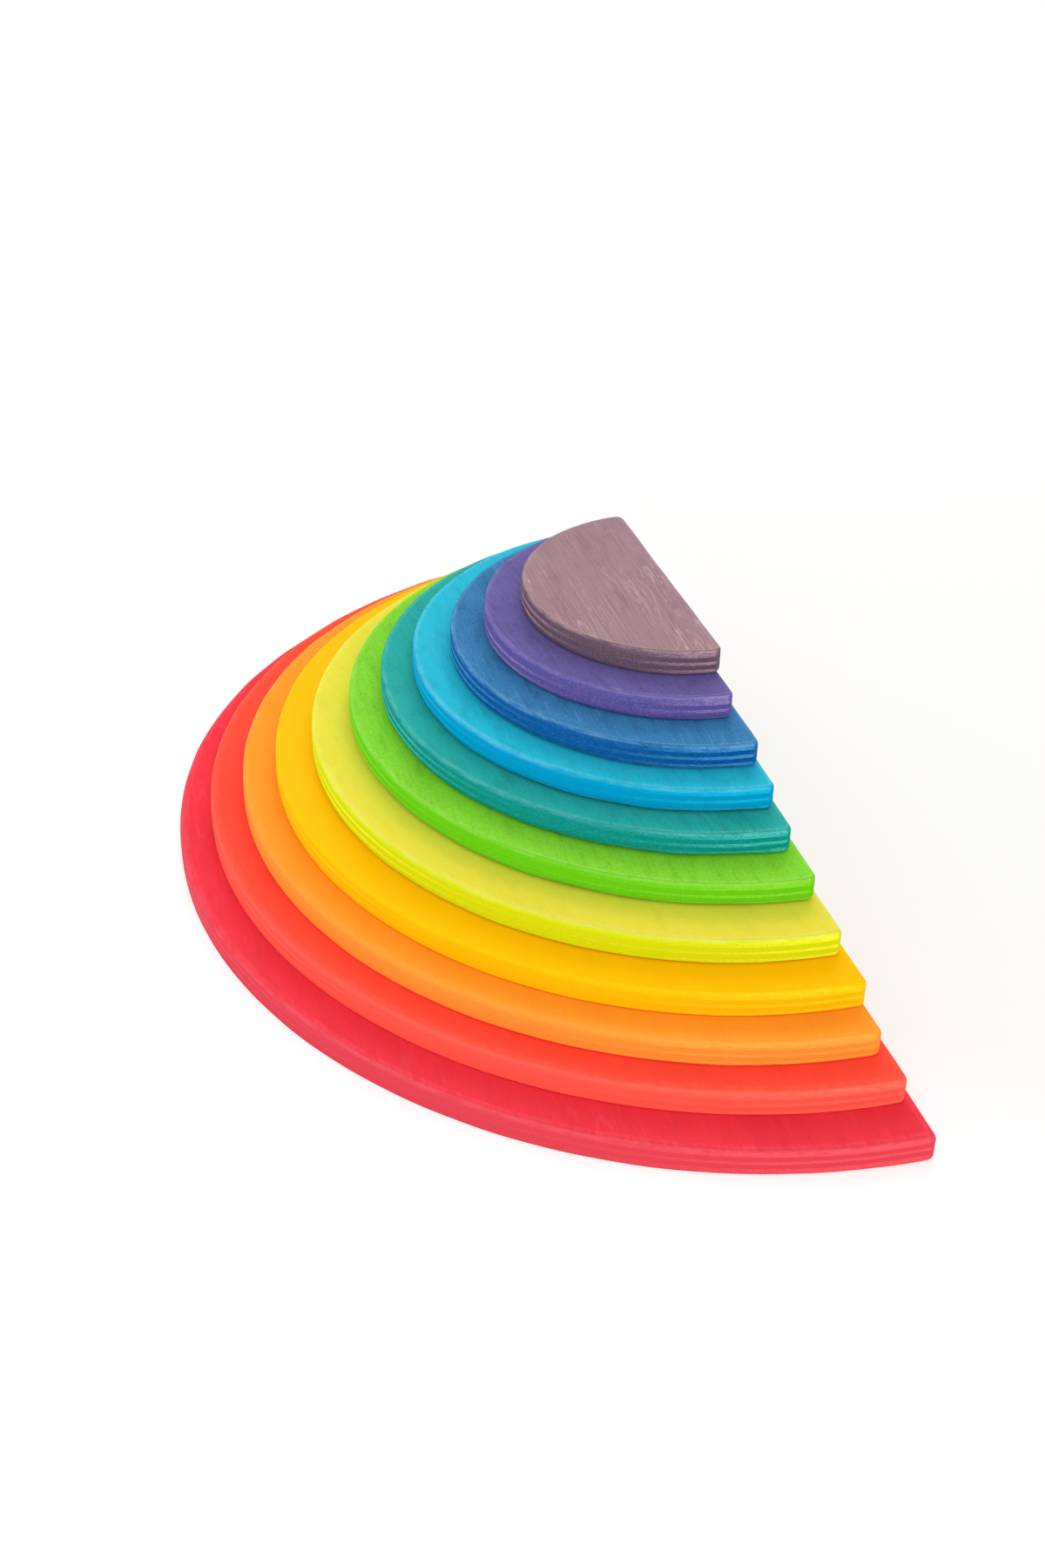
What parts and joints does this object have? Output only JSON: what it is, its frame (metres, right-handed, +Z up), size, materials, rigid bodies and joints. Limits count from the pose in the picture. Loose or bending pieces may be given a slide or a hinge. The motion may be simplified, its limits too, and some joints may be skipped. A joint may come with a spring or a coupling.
{
  "type": "rainbow stacker",
  "caption": "Pile of loose half-disc plywood building boards, stained in rainbow colours and laid flat on each other from the largest to the smallest.",
  "frame": {"origin": "middle of the footprint's box, on the table under the crimson board", "axes": "+X along the straight edges, -Y towards the middle of the arcs, +Z up through the pile"},
  "size_m": [0.347, 0.1736, 0.089],
  "materials": {
    "crimson_stain": "stained plywood, matt oiled",
    "red_stain": "stained plywood, matt oiled",
    "orange_stain": "stained plywood, matt oiled",
    "amber_stain": "stained plywood, matt oiled",
    "lime_stain": "stained plywood, matt oiled",
    "green_stain": "stained plywood, matt oiled",
    "teal_stain": "stained plywood, matt oiled",
    "cyan_stain": "stained plywood, matt oiled",
    "blue_stain": "stained plywood, matt oiled",
    "violet_stain": "stained plywood, matt oiled",
    "mauve_stain": "stained plywood, matt oiled"
  },
  "bodies": {
    "crimson_board": {"crimson_board": "crimson_stain"},
    "red_board": {"red_board": "red_stain"},
    "orange_board": {"orange_board": "orange_stain"},
    "amber_board": {"amber_board": "amber_stain"},
    "lime_board": {"lime_board": "lime_stain"},
    "green_board": {"green_board": "green_stain"},
    "teal_board": {"teal_board": "teal_stain"},
    "cyan_board": {"cyan_board": "cyan_stain"},
    "blue_board": {"blue_board": "blue_stain"},
    "violet_board": {"violet_board": "violet_stain"},
    "mauve_board": {"mauve_board": "mauve_stain"}
  },
  "joints": [
    {"name": "red_board_lift", "type": "slide", "parent": "crimson_board", "child": "red_board", "axis": [0, 0, 1], "range_m": [0, 0.05]},
    {"name": "orange_board_lift", "type": "slide", "parent": "red_board", "child": "orange_board", "axis": [0, 0, 1], "range_m": [0, 0.05]},
    {"name": "amber_board_lift", "type": "slide", "parent": "orange_board", "child": "amber_board", "axis": [0, 0, 1], "range_m": [0, 0.05]},
    {"name": "lime_board_lift", "type": "slide", "parent": "amber_board", "child": "lime_board", "axis": [0, 0, 1], "range_m": [0, 0.05]},
    {"name": "green_board_lift", "type": "slide", "parent": "lime_board", "child": "green_board", "axis": [0, 0, 1], "range_m": [0, 0.05]},
    {"name": "teal_board_lift", "type": "slide", "parent": "green_board", "child": "teal_board", "axis": [0, 0, 1], "range_m": [0, 0.05]},
    {"name": "cyan_board_lift", "type": "slide", "parent": "teal_board", "child": "cyan_board", "axis": [0, 0, 1], "range_m": [0, 0.05]},
    {"name": "blue_board_lift", "type": "slide", "parent": "cyan_board", "child": "blue_board", "axis": [0, 0, 1], "range_m": [0, 0.05]},
    {"name": "violet_board_lift", "type": "slide", "parent": "blue_board", "child": "violet_board", "axis": [0, 0, 1], "range_m": [0, 0.05]},
    {"name": "mauve_board_lift", "type": "slide", "parent": "violet_board", "child": "mauve_board", "axis": [0, 0, 1], "range_m": [0, 0.05]}
  ]
}
